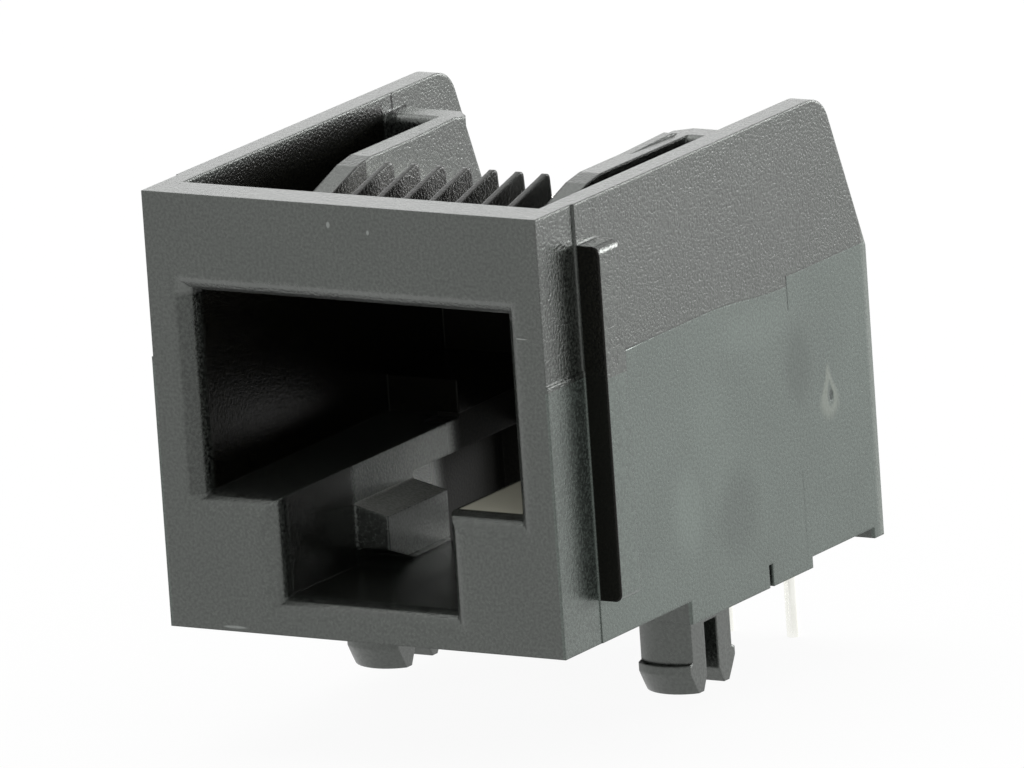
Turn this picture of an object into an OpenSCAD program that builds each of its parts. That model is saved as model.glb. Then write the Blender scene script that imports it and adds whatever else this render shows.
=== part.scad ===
// Right-angle eight-way modular jack for a circuit board, with panel stops.
// X runs across the jack, +Y goes away from the plug side, +Z up from the board.
// The origin is on the board, midway between the two snap pegs.

/* [Body] */
// Width of the front bezel
bezel_w = 15.24; // [14.6:0.02:15.3]
// How far each side wall behind the bezel stands proud of it
side_step = 0.08; // [0:0.01:0.2]
// How far the lower mould half stands proud of the upper one at the bezel's sides
parting_step = 0.05; // [0:0.01:0.1]
// Depth of the whole jack, front face to rear feet
body_d = 20.4; // [20.1:0.05:22]
// Height of the top edge over the board
body_h = 15.65; // [15.4:0.05:17]
// Height of the front underside over the board
standoff = 0.8; // [0.5:0.05:1.2]
// Distance from the front face back to the line of the pegs
front_to_pegs = 10.6; // [10.4:0.05:11.1]
// Depth of the bezel, as far as the panel stops
bezel_d = 2.3; // [1.8:0.01:2.6]
// Thickness of the bezel's wall over the port
front_wall = 1.45; // [1:0.05:1.7]
// Thickness of the side walls beside the top pockets
side_wall = 0.8; // [0.6:0.05:1]
// Thickness of the wall behind the plug cavity
rear_wall = 1.3; // [1:0.05:1.3]
// Height of the mould parting line over the board
parting_h = 10; // [9:0.1:10.4]

/* [Plug port] */
// Width of the plug cavity
port_w = 12.1; // [11.8:0.05:12.4]
// Height of the plug cavity
port_h = 6.85; // [6.6:0.05:7]
// Height of the port's floor over the board
port_floor = 5.4; // [5.2:0.05:5.6]
// Width of the keyway that takes the plug's latch
keyway_w = 6.55; // [6.2:0.05:6.8]
// Depth of the keyway below the port's floor
keyway_h = 3.4; // [3:0.05:3.5]
// Radius round the mouth of the port
mouth_r = 0.75; // [0.3:0.05:0.8]
// Depth from the front face to the raised plug stops
stop_d = 11.7; // [11:0.05:12.2]
// Height of the plug stops over the port's floor
stop_h = 1.27; // [0.8:0.01:1.6]
// Depth of the whole plug cavity
cavity_d = 15.4; // [15.3:0.05:15.6]

// Height over the board of the openings behind the keyway
window_top = 4.3; // [3.6:0.05:4.5]

/* [Latch catches] */
// Gap between the two catches
catch_gap = 3.96; // [3.7:0.02:4.3]
// Depth from the front face to the catches
catch_d = 4.85; // [4:0.05:5.5]
// Length of the catches
catch_l = 3.75; // [3:0.05:4.2]
// Height of the catches' inner top edge over the board
catch_top = 3.75; // [3.5:0.05:4]
// Height of the catches' leading underside over the board
catch_under = 2.6; // [2.4:0.05:2.8]
// Rise of the catches' tops towards their roots
root_rise = 0.3; // [0.1:0.05:0.4]
// Length of the cut under the catches' leading ends
lead_l = 1.5; // [1:0.05:2]

/* [Panel stops] */
// How far the panel stops stand out from the side walls
panel_stop_out = 0.85; // [0.5:0.05:1.2]
// Thickness of the panel stops along the jack
panel_stop_t = 1.25; // [0.8:0.05:1.6]
// Height of the panel stops' lower end over the board
panel_stop_low = 2.25; // [2:0.05:3.2]
// Height of the panel stops' upper end over the board
panel_stop_high = 14.25; // [13.5:0.05:14.6]
// Radius at the panel stops' outer corners
panel_stop_r = 0.25; // [0.1:0.05:0.45]

/* [Wings and feet] */
// Depth from the front face to where the sides come down to the board
rail_d = 7.95; // [7.6:0.05:8.4]
// Depth from the front face to the rear end of the rails
rail_end_d = 15.75; // [15.6:0.05:16.2]
// Width of each rail on the board
rail_w = 3.7; // [3.3:0.05:4]
// Clearance over the board behind the rails
rear_relief = 0.38; // [0.2:0.02:0.6]
// Height of the expansion slit in each rail
slit_h = 0.78; // [0.4:0.02:1]
// Width of the expansion slit in each rail
slit_w = 0.25; // [0.1:0.01:0.4]
// Depth from the front face to the expansion slits
slit_d = 13.08; // [12.8:0.02:13.4]
// How far the wings' rear edges lean forward at the top
wing_lean = 2.2; // [1.6:0.05:2.8]
// Radius at the top rear corner of the wings
wing_r = 1.25; // [0.8:0.05:2]
// Size of the rear feet along the jack
foot_l = 0.6; // [0.4:0.05:0.8]
// Width of the rear feet
foot_w = 0.95; // [0.85:0.05:1.2]

/* [Top] */
// Number of ways
ways = 8; // [4:2:8]
// Spacing of the contacts in the comb
comb_pitch = 1.016; // [0.98:0.001:1.02]
// Thickness of the comb's ribs at their ridges
rib_t = 0.17; // [0.15:0.01:0.3]
// Thickness of the comb's ribs at their feet
rib_foot_t = 0.49; // [0.4:0.01:0.52]
// Depth from the front face to the rear of the comb
comb_d = 8.2; // [8:0.05:8.8]
// How far the comb's highest point lies below the top edge
comb_drop = 0.61; // [0.4:0.01:0.8]
// Slope of the comb's ribs, in degrees
comb_slope = 15.2; // [12:0.1:17]
// Radius at the comb's rear top corners
comb_r = 0.2; // [0.1:0.01:0.3]
// Thickness of the inner walls beside the comb
inner_wall = 0.8; // [0.6:0.05:1]
// How far the inner walls lie below the top edge
inner_drop = 0.62; // [0.5:0.02:0.8]
// Depth from the front face to the level part of the inner walls
inner_level_d = 8.6; // [8.2:0.05:9]
// Slope of the inner walls behind the bezel, in degrees
ramp_slope = 18.2; // [15:0.1:20]
// Height at the rear of the shallow ridge on each inner wall
ridge_h = 0.08; // [0.03:0.01:0.1]
// Depth from the front face to the start of the shallow ridges
ridge_d = 11.2; // [10:0.1:12]
// Depth from the front face to the pockets' rear walls
pocket_end_d = 14; // [13.6:0.05:14.2]
// Thickness of the pockets' rear walls
pocket_wall = 1.1; // [0.8:0.05:1.3]
// Bevel of the rim's inner rear corners
rim_bevel = 0.5; // [0.2:0.05:0.6]
// Thickness of the floor of the side pockets over the plug cavity
pocket_floor_t = 0.75; // [0.6:0.05:1]
// Height of the level part of the contact deck over the cavity's roof
deck_t = 0.55; // [0.5:0.01:0.7]
// Depth from the front face to where the contact deck starts to fall
deck_d = 12; // [11.8:0.05:12.4]
// Slope of the rear part of the contact deck, in degrees
deck_slope = 17; // [14:0.5:19]
// Chamfer on the rear edge of the contact deck
rear_chamfer = 0.3; // [0.28:0.01:0.5]

// Thickness of the teeth that part the wires on the rear wall
tooth_t = 0.36; // [0.3:0.01:0.4]
// Height of the teeth below the rear edge of the deck
tooth_h = 1.6; // [1:0.05:2]
// Height of the teeth over the deck
tooth_rise = 0.3; // [0.1:0.05:0.4]

/* [Snap pegs] */
// Distance between the two pegs
peg_pitch = 11.43; // [11.2:0.01:11.6]
// Diameter of the pegs' necks
peg_d = 3.2; // [3:0.01:3.25]
// Diameter over the pegs' barbs
barb_d = 3.5; // [3.3:0.02:3.7]
// Diameter at the pegs' tips
tip_d = 2.8; // [2.4:0.05:3]
// Length of the pegs below the board plane
peg_l = 2.85; // [2.6:0.05:3.2]
// Thickness of board that the pegs snap into
board_t = 1.6; // [1.5:0.1:1.7]
// Height of the barbs' widest part
barb_h = 0.35; // [0.2:0.05:0.5]
// Depth of the slope over each barb
barb_lip = 0.06; // [0.02:0.01:0.1]
// Play between the board and the barbs
board_play = 0.15; // [0.05:0.01:0.25]
// Width across the pegs' flats
peg_flats = 2; // [1.6:0.05:2.2]
// Width of the slot that splits each peg
peg_slot = 0.8; // [0.6:0.05:1]
// Distance from the board plane down to the start of the slot
slot_start = 0.55; // [0.3:0.05:0.8]
// Extra width of the slot at the pegs' tips
slot_flare = 0.5; // [0:0.05:0.6]
// Length of the flare at the pegs' tips
flare_l = 0.5; // [0.3:0.05:0.8]

/* [Contacts] */
// Diameter of the contact wire
wire_d = 0.45; // [0.4:0.01:0.46]
// Sideways spacing of the solder tails
tail_pitch = 1.27; // [1.25:0.01:1.3]
// Distance from the pegs back to the front row of tails
front_row = 6.35; // [6.25:0.05:6.45]
// Distance between the two rows of tails
row_gap = 2.54; // [2.4:0.02:2.6]
// Length of the tails below the board plane
tail_l = 3.55; // [3:0.05:4]
// Depth from the front face to the front of the hairpins
hairpin_d = 2.15; // [1.95:0.05:2.6]
// Radius of the hairpin on the wire's centre line
hairpin_r = 0.45; // [0.4:0.01:0.6]
// Slope of the spring legs, in degrees
spring_slope = 14; // [11:0.5:14.5]
// Length of the spring legs
spring_l = 7.2; // [6:0.1:7.6]
// Height over the board where the wires start to splay
splay_low = 3.4; // [2.6:0.1:4]
// Height over the board where the wires have reached the comb's spacing
splay_high = 8.6; // [8:0.1:9.2]
// Bend radius at both ends of the splayed length
splay_r = 0.8; // [0.6:0.05:1.2]
// Bend radius where the wires turn down behind the deck
turn_r = 0.6; // [0.5:0.05:0.65]
// Bend radius where the wires leave the level part of the deck
deck_r = 1.5; // [1:0.1:2]
// Clearance between a wire and its seat
wire_gap = 0.03; // [0.02:0.01:0.06]
// Diameter of the tail holes in the rear shelf
tail_hole_d = 0.6; // [0.55:0.01:0.8]
// Thickness of the rear shelf
shelf_t = 1; // [0.6:0.05:1.4]
// Depth from the front face to the rear edge of the shelf
shelf_d = 20; // [19.7:0.05:20.1]

/* [Hidden] */

plastic = [0.13, 0.135, 0.13];
tinned = [0.83, 0.82, 0.76];

// Overshoot of a cut past the face that it opens.
cut = 0.5;
// Overlap of joined solids.
lap = 0.2;
// Angle of one facet of the mouth's rounding, in degrees.
mouth_step = 15;
// Radius at the front top edge of the pockets' rear walls.
rim_r = 0.3;
// Width of the shallow ridges on the inner walls.
ridge_w = 0.35;

body_w = bezel_w + 2 * side_step;
front_y = -front_to_pegs;
port_roof = port_floor + port_h;
keyway_floor = port_floor - keyway_h;
pocket_floor = port_roof + pocket_floor_t;
rear_face_d = cavity_d + rear_wall;

comb_half = comb_pitch * ways / 2;
pocket_inner = comb_half + inner_wall;
pocket_outer = body_w / 2 - side_wall;

deck_h = port_roof + deck_t;
rim_h = body_h - inner_drop;
wire_h = deck_h + wire_gap + wire_d / 2;

function reverse_list(list) = [for (i = [len(list) - 1 : -1 : 0]) list[i]];

// A box given by its lowest and highest corners, with depths from the front face.
module block(x, d, z) {
    translate([x[0], front_y + d[0], z[0]])
        cube([x[1] - x[0], d[1] - d[0], z[1] - z[0]]);
}

// The same box on both sides of the jack.
module block_pair(x, d, z) {
    block(x, d, z);
    block([-x[1], -x[0]], d, z);
}

// A side outline in depth and height, spread over a stretch of X.
module side_plate(x) {
    translate([x[0], front_y, 0])
        rotate([90, 0, 90])
            linear_extrude(x[1] - x[0])
                children();
}

// ---- Side walls --------------------------------------------------------

// Outline of a side wall: raised front, rail, relieved rear and sloping wing.
module wing_outline() {
    top_d = body_d - wing_lean;
    lean = atan(wing_lean / (body_h - parting_h));
    reach = wing_r * tan((90 - lean) / 2);
    corner = [top_d, body_h];
    down = [sin(lean), -cos(lean)];
    difference() {
        polygon([
            [bezel_d, standoff], [rail_d, standoff], [rail_d, 0],
            [rail_end_d, 0], [rail_end_d, rear_relief], [body_d, rear_relief],
            [body_d, parting_h], corner, [bezel_d, body_h]
        ]);
        polygon([
            corner - [reach, 0], corner + [0, cut],
            corner + [cut, 0], corner + reach * down,
            corner - [reach, wing_r]
        ]);
    }
    translate(corner - [reach, wing_r])
        circle(wing_r, $fn = 96);
}

module side_walls() {
    for (side = [-1, 1])
        scale([side, 1, 1])
            side_plate([pocket_outer, body_w / 2])
                wing_outline();
    block_pair([pocket_outer, bezel_w / 2 - lap], [bezel_d - lap, bezel_d + lap], [standoff, body_h]);
    block_pair([body_w / 2 - foot_w, body_w / 2], [body_d - foot_l, body_d], [0, rear_relief + lap]);
}

// Step that leaves the lower mould half proud along the bezel's sides.
module bezel() {
    block([-bezel_w / 2, bezel_w / 2], [0, bezel_d], [standoff, body_h]);
    block_pair([0, bezel_w / 2 + parting_step], [0, bezel_d], [standoff, parting_h]);
}

// Panel stop: a full-height rib with rounded outer corners.
module panel_stop() {
    tall = panel_stop_high - panel_stop_low;
    translate([body_w / 2, front_y + bezel_d + panel_stop_t, panel_stop_low])
        rotate([90, 0, 0])
            linear_extrude(panel_stop_t) {
                translate([-lap, 0])
                    square([lap + panel_stop_out - panel_stop_r, tall]);
                translate([-lap, panel_stop_r])
                    square([lap + panel_stop_out, tall - 2 * panel_stop_r]);
                for (z = [panel_stop_r, tall - panel_stop_r])
                    translate([panel_stop_out - panel_stop_r, z])
                        circle(panel_stop_r, $fn = 48);
            }
}

// ---- Middle of the body ------------------------------------------------

// Height of the contact deck's slope at a depth behind its level part.
function deck_at(d) = deck_h - (d - deck_d) * tan(deck_slope);

module core() {
    inside = pocket_outer + lap;
    block([-inside, inside], [front_wall - lap, cavity_d], [standoff, pocket_floor]);
    block([-inside, inside], [cavity_d - lap, rear_face_d], [rear_relief, deck_at(cavity_d)]);
    block_pair([body_w / 2 - rail_w, inside], [rail_d, rail_end_d], [0, standoff + lap]);
}

// Expansion slit across each rail.
module slits() {
    block_pair([body_w / 2 - rail_w - cut, body_w / 2 + cut],
               [slit_d - slit_w / 2, slit_d + slit_w / 2], [-cut, slit_h]);
}

// Space over the contact deck: level behind the comb, then falling to the rear face,
// with the rear edge cut back to clear the wires' bends.
module deck_trough() {
    start = pocket_end_d + pocket_wall - rim_bevel;
    edge = rear_face_d - rear_chamfer;
    side_plate([-comb_half, comb_half])
        polygon([
            [comb_d - lap, deck_h], [deck_d, deck_h],
            [rear_face_d + cut, deck_at(rear_face_d + cut)],
            [rear_face_d + cut, body_h + cut], [comb_d - lap, body_h + cut]
        ]);
    side_plate([-pocket_outer, pocket_outer])
        polygon([
            [start, deck_at(start)], [edge, deck_at(edge)],
            [rear_face_d, deck_at(edge) - rear_chamfer],
            [rear_face_d + cut, deck_at(edge) - rear_chamfer],
            [rear_face_d + cut, body_h + cut], [start, body_h + cut]
        ]);
}

// Points of the rounding of one edge of the mouth: depth, and distance outside the opening.
function mouth_arc() = [
    for (a = [0 : mouth_step : 90]) mouth_r * [1 - cos(a), 1 - sin(a)]
];

// A rounded mouth: the rounding in plan crossed with the rounding in side view.
module mouth(w, low, high) {
    arc = mouth_arc();
    out = 2 * mouth_r;
    back = mouth_r + lap;
    right = [for (q = arc) [w / 2 + q[1], q[0]]];
    left = [for (q = arc) [-w / 2 - q[1], q[0]]];
    above = [for (q = arc) [q[0], high + q[1]]];
    below = [for (q = arc) [q[0], low - q[1]]];
    intersection() {
        translate([0, front_y, low - out])
            linear_extrude(high - low + 2 * out)
                polygon(concat(
                    [[-w / 2 - mouth_r, -cut], [w / 2 + mouth_r, -cut]], right,
                    [[w / 2 - lap, back], [-w / 2 + lap, back]], reverse_list(left)
                ));
        side_plate([-w / 2 - out, w / 2 + out])
            polygon(concat(
                [[-cut, low - mouth_r], [-cut, high + mouth_r]], above,
                [[back, high - lap], [back, low + lap]], reverse_list(below)
            ));
    }
}

module port() {
    // Plug cavity, with its roof falling behind the comb.
    side_plate([-port_w / 2, port_w / 2])
        polygon([
            [-cut, port_floor], [cavity_d, port_floor],
            [cavity_d, port_roof - (cavity_d - deck_d) * tan(deck_slope)],
            [deck_d, port_roof], [-cut, port_roof]
        ]);
    block([-keyway_w / 2, keyway_w / 2], [-cut, cavity_d], [keyway_floor, port_floor + lap]);
    block([-keyway_w / 2, keyway_w / 2], [catch_d + catch_l, cavity_d], [-cut, port_floor]);
    // Behind the catches the space between the rails is open to the board and to the rear.
    block([rail_w - body_w / 2, body_w / 2 - rail_w], [catch_d + catch_l, cavity_d],
          [-cut, window_top]);
    block([-keyway_w / 2, keyway_w / 2], [cavity_d - lap, rear_face_d + cut],
          [rear_relief + shelf_t, window_top]);
    mouth(port_w, port_floor, port_roof);
    mouth(keyway_w, keyway_floor, port_floor + lap);
}

module plug_stops() {
    block_pair([keyway_w / 2, port_w / 2 + lap], [stop_d, cavity_d + lap],
               [port_floor - lap, port_floor + stop_h]);
}

// Latch catch: its top falls towards the middle, its leading underside is cut back.
module catches() {
    root = keyway_w / 2;
    for (s = [-1, 1])
        scale([s, 1, 1])
            difference() {
                translate([0, front_y + catch_d + catch_l, 0])
                    rotate([90, 0, 0])
                        linear_extrude(catch_l)
                            polygon([
                                [catch_gap / 2, standoff], [root + lap, standoff],
                                [root + lap, catch_top + root_rise + lap], [root, catch_top + root_rise],
                                [catch_gap / 2, catch_top]
                            ]);
                side_plate([catch_gap / 2 - lap, root])
                    polygon([
                        [catch_d - cut, keyway_floor], [catch_d + lead_l, keyway_floor],
                        [catch_d, catch_under], [catch_d - cut, catch_under]
                    ]);
            }
}

// ---- Open top ----------------------------------------------------------

// Inner wall beside the comb: a ramp behind the bezel, then level with a shallow rising ridge.
module inner_walls() {
    ramp_low = rim_h - (inner_level_d - front_wall) * tan(ramp_slope);
    ease = 0.9;
    for (side = [-1, 1])
        scale([side, 1, 1]) {
            side_plate([comb_half, pocket_inner])
                polygon([
                    [front_wall - lap, deck_h - lap], [front_wall - lap, ramp_low],
                    [inner_level_d - ease, rim_h - ease * tan(ramp_slope) / 2],
                    [inner_level_d, rim_h],
                    [pocket_end_d + rim_r, rim_h], [pocket_end_d + rim_r, deck_h - lap]
                ]);
            side_plate([comb_half, comb_half + ridge_w])
                polygon([
                    [ridge_d, rim_h - lap], [ridge_d, rim_h], [pocket_end_d, rim_h + ridge_h],
                    [pocket_end_d + rim_r, rim_h], [pocket_end_d + rim_r, rim_h - lap]
                ]);
        }
}

// Rear wall of a top pocket, joined to the inner wall by a bevelled corner.
module pocket_rear_walls() {
    rear = pocket_end_d + pocket_wall;
    low = deck_at(rear) - lap / 2;
    for (side = [-1, 1])
        scale([side, 1, 1])
            intersection() {
                side_plate([comb_half, pocket_outer + lap]) {
                    polygon([
                        [pocket_end_d, low], [rear, low], [rear, rim_h],
                        [pocket_end_d + rim_r, rim_h], [pocket_end_d, rim_h - rim_r]
                    ]);
                    translate([pocket_end_d + rim_r, rim_h - rim_r])
                        circle(rim_r, $fn = 32);
                }
                translate([0, front_y, low])
                    linear_extrude(body_h)
                        polygon([
                            [comb_half, pocket_end_d], [pocket_outer + lap, pocket_end_d],
                            [pocket_outer + lap, rear], [comb_half + rim_bevel, rear],
                            [comb_half, rear - rim_bevel]
                        ]);
            }
}

// Rib of the comb: a side outline crossed with a section that widens downwards.
module comb_rib() {
    top = body_h - comb_drop;
    run = comb_d - comb_r - front_wall;
    intersection() {
        side_plate([-rib_foot_t, rib_foot_t]) {
            polygon([
                [front_wall - lap, port_roof],
                [front_wall - lap, top - (run + lap) * tan(comb_slope)],
                [comb_d - comb_r, top], [comb_d - comb_r, port_roof]
            ]);
            translate([comb_d - 2 * comb_r, port_roof])
                square([2 * comb_r, top - comb_r - port_roof]);
            translate([comb_d - comb_r, top - comb_r])
                circle(comb_r, $fn = 32);
        }
        translate([0, front_y + comb_d + lap, 0])
            rotate([90, 0, 0])
                linear_extrude(comb_d)
                    polygon([
                        [-rib_foot_t / 2, port_roof], [rib_foot_t / 2, port_roof],
                        [rib_t / 2, top], [-rib_t / 2, top]
                    ]);
    }
}

module comb() {
    for (i = [1 : ways - 1])
        translate([(i - ways / 2) * comb_pitch, 0, 0])
            comb_rib();
}

// Slots of the comb, open from the top into the plug cavity.
module comb_slots() {
    block([-comb_half, comb_half], [front_wall, comb_d], [port_roof - lap, body_h + cut]);
}

// ---- Rear --------------------------------------------------------------

// Short teeth on the rear wall keep the wires apart where they turn down.
module rear_teeth() {
    reach_d = rear_face_d + wire_d + 2 * wire_gap;
    edge = deck_at(rear_face_d);
    for (i = [0 : ways])
        translate([(i - ways / 2) * comb_pitch, 0, 0])
            side_plate([-tooth_t / 2, tooth_t / 2])
                polygon([
                    [cavity_d, edge - tooth_h / 2], [reach_d, edge - tooth_h],
                    [reach_d, edge - lap], [rear_face_d, edge + tooth_rise],
                    [cavity_d, deck_at(cavity_d) + tooth_rise]
                ]);
}

module rear_shelf() {
    inside = pocket_outer + lap;
    block([-inside, inside], [rear_face_d - lap, shelf_d],
          [rear_relief, rear_relief + shelf_t]);
}

// Holes for the front row of tails, and notches open to the rear for the other row.
module tail_holes() {
    low = rear_relief - cut;
    for (i = [1 : ways]) {
        translate([tail_x(i), tail_y(i), low])
            cylinder(d = tail_hole_d, h = shelf_t + 2 * cut, $fn = 32);
        if (i % 2 == 0)
            translate([tail_x(i) - tail_hole_d / 2, tail_y(i), low])
                cube([tail_hole_d, row_gap, shelf_t + 2 * cut]);
    }
}

// ---- Snap pegs ---------------------------------------------------------

// Split peg with flats on its outer and inner sides, a barb and a tapered tip.
module peg() {
    barb_top = board_t + board_play;
    difference() {
        intersection() {
            rotate_extrude($fn = 96)
                polygon([
                    [0, lap], [peg_d / 2, lap], [peg_d / 2, -barb_top],
                    [barb_d / 2, -barb_top - barb_lip], [barb_d / 2, -barb_top - barb_h],
                    [tip_d / 2, -peg_l], [0, -peg_l]
                ]);
            translate([-peg_flats / 2, -barb_d, -peg_l - cut])
                cube([peg_flats, 2 * barb_d, peg_l + 2 * cut]);
        }
        rotate([90, 0, 90])
            translate([0, 0, -barb_d])
                linear_extrude(2 * barb_d)
                    polygon([
                        [-peg_slot / 2, -slot_start], [peg_slot / 2, -slot_start],
                        [peg_slot / 2, flare_l - peg_l],
                        [(peg_slot + slot_flare) / 2, -peg_l], [(peg_slot + slot_flare) / 2, -peg_l - lap],
                        [-(peg_slot + slot_flare) / 2, -peg_l - lap], [-(peg_slot + slot_flare) / 2, -peg_l],
                        [-peg_slot / 2, flare_l - peg_l]
                    ]);
    }
}

module pegs() {
    for (side = [-1, 1])
        translate([side * peg_pitch / 2, 0, 0])
            peg();
}

// Everything over the cavity's roof between the side walls, behind the front wall.
module top_space() {
    block([-pocket_outer, pocket_outer], [front_wall, pocket_end_d + pocket_wall],
          [pocket_floor, body_h + cut]);
}

module housing() {
    color(plastic) {
        difference() {
            union() {
                bezel();
                side_walls();
                core();
                rear_shelf();
                for (side = [0, 1])
                    mirror([side, 0, 0])
                        panel_stop();
            }
            port();
            comb_slots();
            deck_trough();
            top_space();
            slits();
            tail_holes();
        }
        inner_walls();
        pocket_rear_walls();
        comb();
        rear_teeth();
        plug_stops();
        catches();
        pegs();
    }
}

// ---- Contacts ----------------------------------------------------------

// A bend is this much thicker than the straight wire, which runs a little way into it.
bend_swell = 0.01;
function bend_lap(trim) = min(0.05, trim / 2);
function unit(v) = v / norm(v);
function turn(a, b, c) = acos(max(-1, min(1, unit(b - a) * unit(c - b))));
function trim(a, b, c, r) = r * tan(turn(a, b, c) / 2);

// A straight length of wire between two points, with its facets square to a plane.
module wire_run(a, b, normal) {
    along = unit(b - a);
    side = unit(normal);
    other = cross(along, side);
    multmatrix([
        [side[0], other[0], along[0], a[0]],
        [side[1], other[1], along[1], a[1]],
        [side[2], other[2], along[2], a[2]],
        [0, 0, 0, 1]
    ])
        cylinder(d = wire_d, h = norm(b - a), $fn = 48);
}

// A bend of the wire at b, on its way from a to c.
module wire_bend(a, b, c, r) {
    into = unit(b - a);
    out = unit(c - b);
    inward = unit(out - (out * into) * into);
    axis = cross(-inward, into);
    centre = b - trim(a, b, c, r) * into + r * inward;
    multmatrix([
        [-inward[0], into[0], axis[0], centre[0]],
        [-inward[1], into[1], axis[1], centre[1]],
        [-inward[2], into[2], axis[2], centre[2]],
        [0, 0, 0, 1]
    ])
        rotate_extrude(angle = turn(a, b, c), $fn = 96)
            translate([r, 0])
                circle(d = wire_d + bend_swell, $fn = 48);
}

// Wire along a list of points, with a bend radius at each inner point.
module bent_wire(points, radii) {
    last = len(points) - 1;
    for (i = [0 : last - 1]) {
        a = points[i];
        b = points[i + 1];
        along = unit(b - a);
        in_trim = i == 0 ? 0 : trim(points[i - 1], a, b, radii[i]);
        out_trim = i == last - 1 ? 0 : trim(a, b, points[i + 2], radii[i + 1]);
        k = min(i + 1, last - 1);
        wire_run(a + (in_trim - bend_lap(in_trim)) * along,
                 b - (out_trim - bend_lap(out_trim)) * along,
                 cross(points[k] - points[k - 1], points[k + 1] - points[k]));
    }
    for (i = [1 : last - 1])
        wire_bend(points[i - 1], points[i], points[i + 1], radii[i]);
}

function comb_x(i) = (i - (ways + 1) / 2) * comb_pitch;
function tail_x(i) = (i - (ways + 1) / 2) * tail_pitch;
function tail_y(i) = i % 2 == 0 ? front_row + row_gap : front_row;

module contact(i) {
    turn_y = front_y + rear_face_d + wire_gap + wire_d / 2;
    rear_h = wire_h - (turn_y - front_y - deck_d) * tan(deck_slope);
    spring_y = front_y + hairpin_d + wire_d / 2;
    spring_h = wire_h - 2 * hairpin_r;
    color(tinned)
        bent_wire(
            [
                [tail_x(i), tail_y(i), -tail_l],
                [tail_x(i), tail_y(i), splay_low],
                [comb_x(i), turn_y, splay_high],
                [comb_x(i), turn_y, rear_h],
                [comb_x(i), front_y + deck_d, wire_h],
                [comb_x(i), spring_y, wire_h],
                [comb_x(i), spring_y, spring_h],
                [comb_x(i), spring_y + spring_l * cos(spring_slope),
                 spring_h - spring_l * sin(spring_slope)]
            ],
            [0, splay_r, splay_r, turn_r, deck_r, hairpin_r, hairpin_r, 0]
        );
}

housing();
contact(1);  // contact_1
contact(2);  // contact_2
contact(3);  // contact_3
contact(4);  // contact_4
contact(5);  // contact_5
contact(6);  // contact_6
contact(7);  // contact_7
contact(8);  // contact_8
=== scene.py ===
"""Looks of the right-angle board jack: black moulded housing, tinned wire contacts.

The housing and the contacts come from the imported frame, and this script gives them their
finish, the light, the floor and the camera. Scene lengths are in metres. Places on the housing
are in millimetres: x from the middle, d back from the front face and z up from the board.

Some tones of the plastic are painted by place. They stand for light and shade that the
model's own openings do not give, and are not colours of the plastic itself.
"""

import math

import bpy
from mathutils import Matrix, Vector


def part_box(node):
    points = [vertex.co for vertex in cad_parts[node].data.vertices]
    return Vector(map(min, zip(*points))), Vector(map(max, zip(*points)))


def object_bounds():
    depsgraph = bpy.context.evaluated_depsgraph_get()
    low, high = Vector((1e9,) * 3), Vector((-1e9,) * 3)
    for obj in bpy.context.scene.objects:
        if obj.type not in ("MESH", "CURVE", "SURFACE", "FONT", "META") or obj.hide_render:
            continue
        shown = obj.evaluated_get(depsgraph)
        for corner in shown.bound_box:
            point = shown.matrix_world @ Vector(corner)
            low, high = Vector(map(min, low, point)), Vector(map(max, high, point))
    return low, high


MM = 0.001

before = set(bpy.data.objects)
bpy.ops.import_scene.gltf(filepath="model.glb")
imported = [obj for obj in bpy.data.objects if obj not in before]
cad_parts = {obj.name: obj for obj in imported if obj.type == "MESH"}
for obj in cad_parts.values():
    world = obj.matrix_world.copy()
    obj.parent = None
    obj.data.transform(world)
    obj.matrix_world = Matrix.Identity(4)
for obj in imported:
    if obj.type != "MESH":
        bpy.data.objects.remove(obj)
cad_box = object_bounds()
low, high = cad_box


# ---- Camera ------------------------------------------------------------


def make_camera():
    """A very long lens, from the right of the plug side and a little above, tipped clockwise."""
    azimuth = math.radians(32.41)
    elevation = math.radians(13.66)
    roll = math.radians(-3.93)
    distance = 738 * MM
    aim = Vector((0, -2.6, 8.3)) * MM
    slide_right = 1.09 * MM
    slide_down = 0.62 * MM
    focal_length = 782.3
    back = Vector((
        math.sin(azimuth) * math.cos(elevation),
        -math.cos(azimuth) * math.cos(elevation),
        math.sin(elevation),
    ))
    level_right = Vector((math.cos(azimuth), math.sin(azimuth), 0))
    level_up = back.cross(level_right)
    right = math.cos(roll) * level_right + math.sin(roll) * level_up
    up = back.cross(right)
    data = bpy.data.cameras.new("camera")
    data.lens = focal_length
    data.clip_start = 0.1
    data.clip_end = 10
    camera = bpy.data.objects.new("camera", data)
    place = aim + distance * back + slide_right * right - slide_down * up
    camera.matrix_world = Matrix((
        (right.x, up.x, back.x, place.x),
        (right.y, up.y, back.y, place.y),
        (right.z, up.z, back.z, place.z),
        (0, 0, 0, 1),
    ))
    bpy.context.collection.objects.link(camera)
    bpy.context.scene.camera = camera


# ---- Material helpers --------------------------------------------------


def new_material(name):
    """A material, its node tree and its Principled shader."""
    material = bpy.data.materials.new(name)
    material.use_nodes = True
    tree = material.node_tree
    return material, tree, tree.nodes["Principled BSDF"]


def put(tree, socket, value):
    """Give a socket a value, or a link where the value is another node's socket."""
    if isinstance(value, bpy.types.NodeSocket):
        tree.links.new(value, socket)
    else:
        socket.default_value = value


def add(tree, kind, settings=None, **sockets):
    """A node of a kind, with its properties set and its sockets given values or links."""
    node = tree.nodes.new(kind)
    for name, value in (settings or {}).items():
        setattr(node, name, value)
    for name, value in sockets.items():
        put(tree, node.inputs[name.replace("_", " ")], value)
    return node


def calc(tree, operation, *values):
    """The result of a Math node on numbers or sockets."""
    node = add(tree, "ShaderNodeMath", {"operation": operation})
    for socket, value in zip(node.inputs, values):
        put(tree, socket, value)
    return node.outputs[0]


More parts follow.
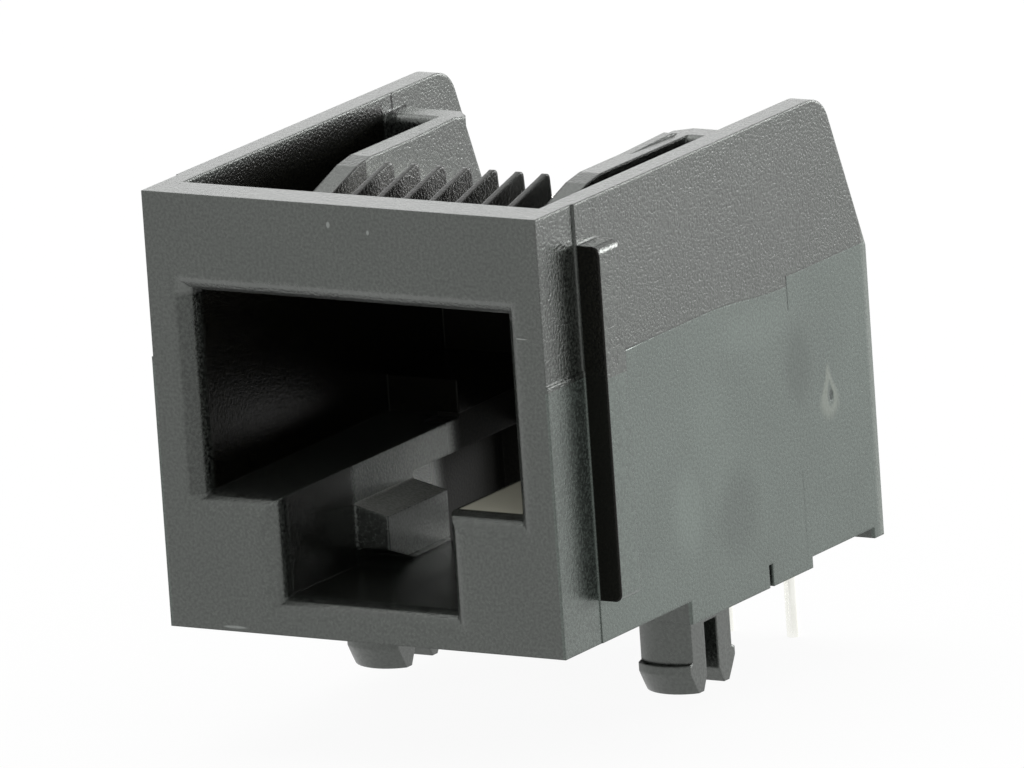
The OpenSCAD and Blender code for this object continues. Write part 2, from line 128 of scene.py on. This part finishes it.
def total(tree, first, *rest):
    for value in rest:
        first = calc(tree, "ADD", first, value)
    return first


def mix_colour(tree, share, first, second):
    """The first colour where the share is 0, the second where it is 1."""
    node = add(tree, "ShaderNodeMix", {"data_type": "RGBA"})
    sockets = {socket.identifier: socket for socket in node.inputs}
    put(tree, sockets["Factor_Float"], share)
    put(tree, sockets["A_Color"], first)
    put(tree, sockets["B_Color"], second)
    return {socket.identifier: socket for socket in node.outputs}["Result_Color"]


# ---- Masks, each 0 to 1 over the surface -------------------------------


def fade(tree, value, start, end, first=0.0, last=1.0):
    """A smooth change from first to last as the value goes from start to end."""
    node = add(tree, "ShaderNodeMapRange", {"interpolation_type": "SMOOTHSTEP"}, Value=value,
               From_Min=start, From_Max=end, To_Min=first, To_Max=last)
    return node.outputs["Result"]


def near(tree, value, centre, half, soft):
    """1 within half of the centre, and 0 beyond a further soft distance."""
    gap = calc(tree, "ABSOLUTE", calc(tree, "SUBTRACT", value, centre))
    return fade(tree, gap, half + soft, half)


def between(tree, value, start, end, soft):
    """1 from start to end, and 0 beyond a further soft distance."""
    return near(tree, value, (start + end) / 2, (end - start) / 2, soft)


def all_of(tree, first, *rest):
    for mask in rest:
        first = calc(tree, "MULTIPLY", first, mask)
    return first


def any_of(tree, first, *rest):
    for mask in rest:
        first = calc(tree, "MAXIMUM", first, mask)
    return first


def spot(tree, across, up, centre, size, soft):
    """An oval patch with its centre and half sizes along across and up."""
    squares = []
    for value, middle, half in zip((across, up), centre, size):
        offset = calc(tree, "DIVIDE", calc(tree, "SUBTRACT", value, middle), half)
        squares.append(calc(tree, "MULTIPLY", offset, offset))
    return fade(tree, calc(tree, "SQRT", total(tree, *squares)), 1 + soft, 1)


class Place:
    """Where a point of the housing is, in millimetres, as sockets of a material's tree."""

    def __init__(self, tree):
        self.vector = add(tree, "ShaderNodeTexCoord").outputs["Object"]
        parts = add(tree, "ShaderNodeSeparateXYZ", Vector=self.vector).outputs
        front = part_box("housing")[0].y
        self.x = calc(tree, "DIVIDE", parts["X"], MM)
        self.d = calc(tree, "DIVIDE", calc(tree, "SUBTRACT", parts["Y"], front), MM)
        self.z = calc(tree, "DIVIDE", parts["Z"], MM)
        self.side = calc(tree, "ABSOLUTE", self.x)


# ---- Plastic -----------------------------------------------------------

# Places on the housing, in millimetres.
PARTING_Z = 9.8
PARTING_RISE = 0.32
PARTING_D = 4.75
SLIDE_D = 15.2
BEZEL_D = 3.45
RAIL_D = 15.45
OUTER_X = 7.55
HAIR = 0.015
HAIR_SOFT = 0.03
PORT_X = 6.1
PORT_TOP = 12.3
MOUTH_D = 0.9
KEYWAY_X = 3.3
LEDGE_Z = 5.3
CATCH_FRONT_D = 4.9
CATCH_TOP_Z = 3.72
CATCH_X = -2.0
COMB_FRONT_D = 1.5
COMB_REAR_D = 8.25
GATE_D = 17.47
GATE_Z = 5.65

# Colours of the skin. Those for the rear edge, the inside, the keyway, the mouth's top and the port's floor
# are painted light and shade, not the plastic's own colour.
BLACK = (0.017, 0.019, 0.017, 1)
LOW_SIDE = (0.048, 0.058, 0.052, 1)
# Painted highlight along the rear edge of the sides.
REAR_EDGE_HIGHLIGHT = (0.12, 0.13, 0.12, 1)
# Painted shade inside the port, the bay behind it, the pockets, the comb's slots, the keyway and the panel
# stops' front faces.
INSIDE_SHADE = (0.003, 0.003, 0.002, 1)
# Painted light in the keyway: on its left wall, and on the left catch's top and face.
KEYWAY_WALL_LIGHT = (0.13, 0.14, 0.13, 1)
CATCH_TOP_LIGHT = (0.32, 0.33, 0.31, 1)
CATCH_FACE_LIGHT = (0.21, 0.22, 0.21, 1)
# Painted highlight on the rounding above the port's mouth.
MOUTH_TOP_HIGHLIGHT = (0.055, 0.057, 0.055, 1)
NICK = (0.35, 0.37, 0.36, 1)
GATE_RIM = (0.24, 0.25, 0.21, 1)
# Painted warm light on the port's floor right of the keyway.
LEDGE_LIGHT = (0.62, 0.61, 0.50, 1)

# Tints of the gloss. The one inside and the one at the mouth's left dim it as painted shade.
GLOSS = (0.95, 1.0, 0.95, 1)
GLOSS_LOW_SIDE = (0.88, 1.0, 0.92, 1)
# Gloss dimmed as painted shade inside, and at the mouth's left edge.
GLOSS_INSIDE_SHADE = (0.2, 0.2, 0.19, 1)
GLOSS_MOUTH_LEFT_SHADE = (0.4, 0.42, 0.4, 1)
GLOSS_LINE = (0.1, 0.1, 0.1, 1)

# Heights in the skin, and the radius of its edges, in millimetres.
GRAIN_LOW = 0.0015
GRAIN_HIGH = 0.0029
LINE_DEPTH = -0.008
GATE_RISE = 0.006
EDGE_RADIUS = 0.12

# Fineness of the noises, and the shares that they and the painted light and shade spots on the sides have in
# the colour.
SPARK_SCALE = 10000.0
CLOUD_SCALE = 260.0
CLOUD_SHARE = 0.12
SIDE_SPOT_SHARE = 0.45
CALM_LOW_SIDE = 0.65
CALM_SMOOTH = 0.85

SATIN = 0.27


def outer_side(tree, place):
    """The outer faces of both sides."""
    return fade(tree, place.side, OUTER_X, OUTER_X + 0.05)


def parting_height(tree, place):
    """Height of the mould's parting line, which steps up, falls slowly and steps up again."""
    up = fade(tree, place.d, PARTING_D - HAIR, PARTING_D + HAIR, 0.0, PARTING_RISE)
    down = fade(tree, place.d, 10.1, 15.1, 0.0, -PARTING_RISE)
    up_again = fade(tree, place.d, SLIDE_D - HAIR, SLIDE_D + HAIR, 0.0, PARTING_RISE)
    return total(tree, up, down, up_again, PARTING_Z)


def parting_lines(tree, place, over):
    """The hair lines that the mould's joints leave on the sides, with the strength of each."""
    level_strength = total(tree, fade(tree, place.d, 6, 5, 0.25, 0.9), fade(tree, place.d, 12, 15, 0, -0.15))
    level = all_of(tree, near(tree, over, 0, HAIR, HAIR_SOFT), fade(tree, place.d, 3.4, 3.6),
                   level_strength)
    step = all_of(tree, near(tree, place.d, PARTING_D, HAIR, HAIR_SOFT),
                  between(tree, place.z, PARTING_Z - 0.3, PARTING_Z + PARTING_RISE, HAIR_SOFT))
    slide = all_of(tree, near(tree, place.d, SLIDE_D, HAIR, HAIR_SOFT),
                   between(tree, place.z, 9.0, 10.1, 0.1))
    bezel_end = all_of(tree, near(tree, place.d, BEZEL_D, HAIR, HAIR_SOFT),
                       fade(tree, place.z, 14.0, 14.3, 0, 0.3))
    rail_end = all_of(tree, near(tree, place.d, RAIL_D, HAIR, 0.08),
                      between(tree, place.z, 0.9, 3.0, 0.8), 0.3)
    return all_of(tree, outer_side(tree, place), any_of(tree, level, step, slide, bezel_end, rail_end))


def gate_mark(tree, place):
    """A drop-shaped mark on the side: its slightly raised pale rim, and its dark middle."""
    outer = outer_side(tree, place)
    width = fade(tree, place.z, 5.1, 6.3, 1.0, 0.3)
    across = calc(tree, "DIVIDE", calc(tree, "SUBTRACT", place.d, GATE_D), width)
    whole = spot(tree, across, place.z, (0, GATE_Z), (0.44, 0.6), 0.9)
    hollow = spot(tree, across, place.z, (0.1, GATE_Z - 0.1), (0.16, 0.3), 0.9)
    rim = all_of(tree, outer, whole, calc(tree, "SUBTRACT", 1.0, hollow))
    centre = spot(tree, place.d, place.z, (GATE_D + 0.13, GATE_Z - 0.15), (0.1, 0.15), 0.6)
    return rim, all_of(tree, outer, centre)


def front_nicks(tree, place):
    """Small pale nicks in the front face."""
    nicks = [
        spot(tree, place.x, place.z, (-0.40, 14.96), (0.05, 0.08), 0.6),
        spot(tree, place.x, place.z, (1.12, 14.79), (0.04, 0.06), 0.6),
        spot(tree, place.x, place.z, (6.75, 11.59), (0.18, 0.015), 0.8),
        spot(tree, place.x, place.z, (-5.15, 0.95), (0.28, 0.03), 1.0),
    ]
    return all_of(tree, fade(tree, place.d, 0.05, 0.02), any_of(tree, *nicks))


def wall_corner_shade(tree, place):
    """Painted shade, with dim gloss over a shallow groove, in the corner where the wings' inner faces meet
    the pockets' rear walls.
    """
    face = between(tree, place.side, 6.6, 7.0, 0.05)
    foot = all_of(tree, near(tree, place.z, 15.0, 0.03, 0.05), between(tree, place.d, 14.3, 15.3, 0.2))
    tick = all_of(tree, near(tree, place.d, 14.5, 0.03, 0.05), between(tree, place.z, 15.0, 15.6, 0.1))
    return all_of(tree, face, any_of(tree, foot, tick))


def dark_places(tree, place):
    """Where the skin is painted darker, for a shade deeper than the model's own: the port and
    the bay behind it, the top pockets, the comb's slots, the keyway's mouth and the panel
    stops' front faces."""
    port = all_of(tree, fade(tree, place.side, PORT_X + 0.05, PORT_X),
                  between(tree, place.d, MOUTH_D, 15.6, 0.3), between(tree, place.z, 5.45, PORT_TOP, 0.05))
    bay = all_of(tree, fade(tree, place.side, PORT_X + 0.1, PORT_X),
                 between(tree, place.d, 11.8, 19.3, 0.5), between(tree, place.z, 1.0, PORT_TOP, 0.05))
    pockets = all_of(tree, between(tree, place.side, 4.87, 6.95, 0.01),
                     between(tree, place.d, COMB_FRONT_D, 13.9, 0.03), fade(tree, place.z, 12.8, 12.9),
                     fade(tree, place.z, 15.6, 15.2))
    slots = all_of(tree, fade(tree, place.side, 4.15, 4.1),
                   between(tree, place.d, COMB_FRONT_D, COMB_REAR_D, 0.03),
                   fade(tree, place.z, PORT_TOP, PORT_TOP + 0.1), fade(tree, place.z, 15.1, 14.3, 0.7, 1.0))
    keyway = all_of(tree, fade(tree, place.side, KEYWAY_X + 0.05, KEYWAY_X),
                    between(tree, place.d, MOUTH_D, 4.7, 0.1),
                    between(tree, place.z, 1.9, LEDGE_Z, 0.05), 0.6)
    stops = all_of(tree, fade(tree, place.side, 7.7, 7.75), between(tree, place.d, 2.2, 2.33, 0.02))
    return any_of(tree, port, bay, pockets, slots, keyway, stops)


def far_keyway(tree, place):
    """The left side of the keyway behind the catches: painted shade and a dull finish."""
    return all_of(tree, between(tree, place.x, -4.1, -3.2, 0.05), fade(tree, place.d, 10.8, 11.8),
                  between(tree, place.z, -0.2, 5.5, 0.05))


def lit_keyway(tree, place):
    """Where the keyway is painted paler, for light from below that the model does not let in:
    its left wall, and the top and the face of the left catch."""
    wall = all_of(tree, between(tree, place.x, -3.35, -3.2, 0.05), between(tree, place.d, 5.1, 11.0, 0.4),
                  between(tree, place.z, 2.5, 5.35, 0.05))
    catch_top = all_of(tree, between(tree, place.x, -KEYWAY_X, CATCH_X, 0.03),
                       between(tree, place.d, CATCH_FRONT_D, 8.55, 0.03),
                       between(tree, place.z, CATCH_TOP_Z, 4.1, 0.03))
    catch_face = all_of(tree, between(tree, place.x, CATCH_X - 0.03, CATCH_X + 0.07, 0.02),
                        between(tree, place.d, CATCH_FRONT_D, 8.6, 0.03),
                        between(tree, place.z, 2.2, CATCH_TOP_Z, 0.05))
    return wall, catch_top, catch_face


def mouth_edges(tree, place):
    """The rounding round the port's mouth: a painted highlight above it, and painted shade at its left."""
    depth = between(tree, place.d, 0.06, 0.8, 0.05)
    above = all_of(tree, depth, fade(tree, place.side, 6.8, 6.3), between(tree, place.z, 12.2, 13.0, 0.1))
    left = all_of(tree, depth, between(tree, place.x, -6.8, -6.05, 0.05),
                  between(tree, place.z, 5.4, 12.2, 0.1))
    return above, left


def side_light_and_shade_spots(tree, place):
    """Broad faint painted soft highlights and painted shade low on the sides."""
    light = any_of(
        tree,
        spot(tree, place.d, place.z, (8.2, 3.85), (0.4, 0.6), 2.5),
        all_of(tree, spot(tree, place.d, place.z, (10.1, 5.3), (0.5, 0.8), 3.0), 0.6),
        all_of(tree, spot(tree, place.d, place.z, (13.0, 8.9), (1.2, 0.4), 1.5), 0.5),
    )
    dark = any_of(
        tree,
        spot(tree, place.d, place.z, (11.3, 3.0), (0.6, 0.7), 2.2),
        all_of(tree, spot(tree, place.d, place.z, (15.6, 7.0), (0.4, 0.6), 2.0), 0.8),
    )
    return calc(tree, "SUBTRACT", light, dark)


def ledge_light_patch(tree, place):
    """Painted pale beige light on the port's floor to the right of the keyway."""
    return all_of(tree, fade(tree, place.x, KEYWAY_X, 3.5), fade(tree, place.x, PORT_X, 6.0),
                  between(tree, place.d, 0.95, 11.5, 0.15), between(tree, place.z, LEDGE_Z, 5.5, 0.05))


class Marks:
    """Every mask of the housing's skin, as sockets of its tree, and its two noises, -1 to 1."""

    def __init__(self, tree):
        place = Place(tree)
        self.over = calc(tree, "SUBTRACT", place.z, parting_height(tree, place))
        self.side = outer_side(tree, place)
        self.low_side = all_of(tree, fade(tree, self.over, 0.01, -0.01), self.side,
                               fade(tree, place.d, 1.9, 2.6, 0.65, 1.0))
        # Painted highlight along the rear edge of the sides.
        self.rear_edge_highlight = all_of(tree, self.side, fade(tree, place.d, 20.0, 20.3))
        self.rim, middle = gate_mark(tree, place)
        # The dark lines include painted shade in the corner under the wings.
        lines = any_of(tree, parting_lines(tree, place, self.over), wall_corner_shade(tree, place))
        self.lines = any_of(tree, lines, middle)
        self.nicks = front_nicks(tree, place)
        self.far = far_keyway(tree, place)
        # Painted shade in the dark places and the far keyway.
        self.inside = any_of(tree, dark_places(tree, place), self.far)
        # Painted light in the keyway.
        self.wall, self.catch_top, self.catch_face = lit_keyway(tree, place)
        # Painted highlight above the mouth, and painted shade at its left.
        self.mouth_top, self.mouth_left_shade = mouth_edges(tree, place)
        # Painted soft highlights and shade on the sides.
        self.side_light_and_shade = all_of(tree, side_light_and_shade_spots(tree, place), self.side)
        # Painted light on the port's floor.
        self.ledge_light = ledge_light_patch(tree, place)
        spark = add(tree, "ShaderNodeTexNoise", Vector=place.vector, Scale=SPARK_SCALE, Detail=2.0)
        cloud = add(tree, "ShaderNodeTexNoise", Vector=place.vector, Scale=CLOUD_SCALE, Detail=3.0)
        self.grain = fade(tree, spark.outputs["Fac"], 0.3, 0.7, -1.0, 1.0)
        self.shade = fade(tree, cloud.outputs["Fac"], 0.3, 0.7, -1.0, 1.0)


def skin_colour(tree, marks):
    """The plastic's colour: its painted places, then grain, cloud and the painted light and shade on the
    sides, then nicks, the gate mark's rim and the painted light on the port's floor.
    """
    skin = BLACK
    places = (
        (marks.low_side, LOW_SIDE),
        (marks.rear_edge_highlight, REAR_EDGE_HIGHLIGHT),
        (marks.inside, INSIDE_SHADE),
        (marks.wall, KEYWAY_WALL_LIGHT),
        (marks.catch_top, CATCH_TOP_LIGHT),
        (marks.catch_face, CATCH_FACE_LIGHT),
        (marks.mouth_top, MOUTH_TOP_HIGHLIGHT),
    )
    for mask, colour in places:
        skin = mix_colour(tree, mask, skin, colour)
    smooth = any_of(tree, marks.wall, marks.catch_top, marks.catch_face, marks.mouth_top, marks.rear_edge_highlight)
    calm = any_of(tree, all_of(tree, marks.low_side, CALM_LOW_SIDE),
                  all_of(tree, smooth, CALM_SMOOTH))
    lift = total(tree, calc(tree, "MULTIPLY", marks.grain, calc(tree, "SUBTRACT", 1.0, calm)),
                 calc(tree, "MULTIPLY", marks.shade, CLOUD_SHARE),
                 calc(tree, "MULTIPLY", marks.side_light_and_shade, SIDE_SPOT_SHARE), 1.0)
    scaled = add(tree, "ShaderNodeVectorMath", {"operation": "SCALE"}, Scale=lift)
    tree.links.new(skin, scaled.inputs[0])
    skin = scaled.outputs[0]
    on_top = (
        (marks.nicks, 0.45, NICK),
        (marks.rim, 0.35, GATE_RIM),
        # Painted light on the port's floor.
        (marks.ledge_light, 0.9, LEDGE_LIGHT),
    )
    for mask, share, colour in on_top:
        skin = mix_colour(tree, all_of(tree, mask, share), skin, colour)
    return skin


def gloss_tint(tree, marks):
    """The tint of the gloss: a little greener low on the sides, dimmer as painted shade inside and
    at the mouth's left edge, and dim in the dark lines, which hold a painted shade line under the wings."""
    tint = mix_colour(tree, marks.low_side, GLOSS, GLOSS_LOW_SIDE)
    tint = mix_colour(tree, marks.inside, tint, GLOSS_INSIDE_SHADE)
    tint = mix_colour(tree, all_of(tree, marks.mouth_left_shade, 0.5), tint, GLOSS_MOUTH_LEFT_SHADE)
    return mix_colour(tree, marks.lines, tint, GLOSS_LINE)


def skin_roughness(tree, marks):
    """Satin all over, a little smoother inside, and dull in the far keyway."""
    inside = calc(tree, "MULTIPLY", marks.inside, -0.03)
    far = calc(tree, "MULTIPLY", marks.far, 0.5)
    return total(tree, SATIN, inside, far)


def skin_normal(tree, marks):
    """Softened edges, with the grain, the lines and the gate mark's rim as bumps."""
    grain_height = fade(tree, marks.over, -0.01, 0.01, GRAIN_LOW, GRAIN_HIGH)
    height = total(
        tree,
        calc(tree, "MULTIPLY", marks.grain, grain_height),
        calc(tree, "MULTIPLY", marks.lines, LINE_DEPTH),
        calc(tree, "MULTIPLY", marks.rim, GATE_RISE),
    )
    edge = add(tree, "ShaderNodeBevel", {"samples": 4}, Radius=EDGE_RADIUS * MM)
    bump = add(tree, "ShaderNodeBump", Height=height, Normal=edge.outputs[0], Strength=1.0, Distance=MM)
    return bump.outputs["Normal"]


def black_plastic():
    """Satin black moulded plastic. Its grain is coarser above the parting line, and below it
    the outer sides are paler and a little greener. Several tones are painted by place, as painted light and
    shade."""
    material, tree, shader = new_material("black_plastic")
    marks = Marks(tree)
    put(tree, shader.inputs["Base Color"], skin_colour(tree, marks))
    put(tree, shader.inputs["Specular Tint"], gloss_tint(tree, marks))
    put(tree, shader.inputs["Roughness"], skin_roughness(tree, marks))
    put(tree, shader.inputs["Normal"], skin_normal(tree, marks))
    shader.inputs["IOR"].default_value = 1.55
    shader.inputs["Specular IOR Level"].default_value = 1.0
    return material


# ---- Wire --------------------------------------------------------------

WIRE_DULL = (0.92, 0.92, 0.86, 1)
WIRE_BRIGHT = (0.99, 0.99, 0.95, 1)


def tinned_wire():
    """Tinned phosphor bronze: pale, a little dull, faintly drawn along its length."""
    material, tree, shader = new_material("tinned_wire")
    place = add(tree, "ShaderNodeTexCoord").outputs["Object"]
    along = add(tree, "ShaderNodeMapping", Vector=place, Scale=(1, 1, 0.15))
    cloud = add(tree, "ShaderNodeTexNoise", Vector=along.outputs[0], Scale=4000.0, Detail=3.0)
    tone = mix_colour(tree, fade(tree, cloud.outputs["Fac"], 0.3, 0.7), WIRE_DULL, WIRE_BRIGHT)
    tree.links.new(tone, shader.inputs["Base Color"])
    rough = fade(tree, cloud.outputs["Fac"], 0.3, 0.7, 0.32, 0.24)
    tree.links.new(rough, shader.inputs["Roughness"])
    bump = add(tree, "ShaderNodeBump", Height=cloud.outputs["Fac"], Strength=0.4, Distance=0.004 * MM)
    tree.links.new(bump.outputs["Normal"], shader.inputs["Normal"])
    shader.inputs["Metallic"].default_value = 1.0
    return material


# ---- Light and floor ---------------------------------------------------

WHITE = (1, 1, 1, 1)
WORLD_LIGHT = 0.7
FLOOR_HALF = 0.6
FLOOR_GLOW = 0.93


def backdrop_rays(tree):
    """1 for camera, glossy and transmission rays, which see the white backdrop, else 0."""
    path = add(tree, "ShaderNodeLightPath")
    rays = ("Is Camera Ray", "Is Glossy Ray", "Is Transmission Ray")
    return any_of(tree, *[path.outputs[ray] for ray in rays])


def light_world():
    """Plain even light, with a white backdrop for the camera and for reflections."""
    world = bpy.data.worlds.new("studio")
    bpy.context.scene.world = world
    world.use_nodes = True
    tree = world.node_tree
    tree.nodes.clear()
    light = add(tree, "ShaderNodeBackground", Color=WHITE, Strength=WORLD_LIGHT)
    backdrop = add(tree, "ShaderNodeBackground", Color=WHITE, Strength=1.0)
    mix = add(tree, "ShaderNodeMixShader", Fac=backdrop_rays(tree))
    tree.links.new(light.outputs[0], mix.inputs[1])
    tree.links.new(backdrop.outputs[0], mix.inputs[2])
    out = add(tree, "ShaderNodeOutputWorld")
    tree.links.new(mix.outputs[0], out.inputs["Surface"])


def add_lamp(name, place, width, height, power):
    """A soft lamp that faces the middle of the object."""
    data = bpy.data.lights.new(name, "AREA")
    data.shape = "RECTANGLE"
    data.size = width
    data.size_y = height
    data.energy = power
    lamp = bpy.data.objects.new(name, data)
    lamp.location = place
    middle = (low + high) / 2
    lamp.rotation_mode = "QUATERNION"
    lamp.rotation_quaternion = (middle - lamp.location).to_track_quat("-Z", "Y")
    bpy.context.collection.objects.link(lamp)


def make_floor():
    """A wide white floor just under the tails. Its white is in its colour and in what the
    camera and reflections see of it; the object's shadow stays on it."""
    half = FLOOR_HALF
    z = low.z
    corners = [(-half, -half, z), (half, -half, z), (half, half, z), (-half, half, z)]
    data = bpy.data.meshes.new("floor")
    data.from_pydata(corners, [], [(0, 1, 2, 3)])
    floor = bpy.data.objects.new("floor", data)
    bpy.context.collection.objects.link(floor)
    material, tree, shader = new_material("floor_white")
    shader.inputs["Base Color"].default_value = (0.9, 0.9, 0.9, 1)
    shader.inputs["Roughness"].default_value = 0.9
    shader.inputs["Specular IOR Level"].default_value = 0.0
    glow = add(tree, "ShaderNodeEmission", Color=WHITE, Strength=1.0)
    share = calc(tree, "MULTIPLY", backdrop_rays(tree), FLOOR_GLOW)
    mix = add(tree, "ShaderNodeMixShader", Fac=share)
    tree.links.new(shader.outputs[0], mix.inputs[1])
    tree.links.new(glow.outputs[0], mix.inputs[2])
    tree.links.new(mix.outputs[0], tree.nodes["Material Output"].inputs["Surface"])
    data.materials.append(material)


# ---- Putting it together -----------------------------------------------


def finish_nodes():
    plastic = black_plastic()
    wire = tinned_wire()
    for name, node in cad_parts.items():
        node.data.materials.clear()
        node.data.materials.append(plastic if name == "housing" else wire)


bpy.context.scene.view_settings.view_transform = "Standard"
make_camera()
light_world()
add_lamp("side_box", Vector((0.19, 0.30, 0.05)), 0.3, 0.1, 1.1)
add_lamp("rear_box", Vector((-0.21, 0.33, 0.11)), 0.3, 0.15, 0.13)
add_lamp("top_box", Vector((-0.1, 0.05, 0.4)), 0.3, 0.3, 0.6)
make_floor()
finish_nodes()
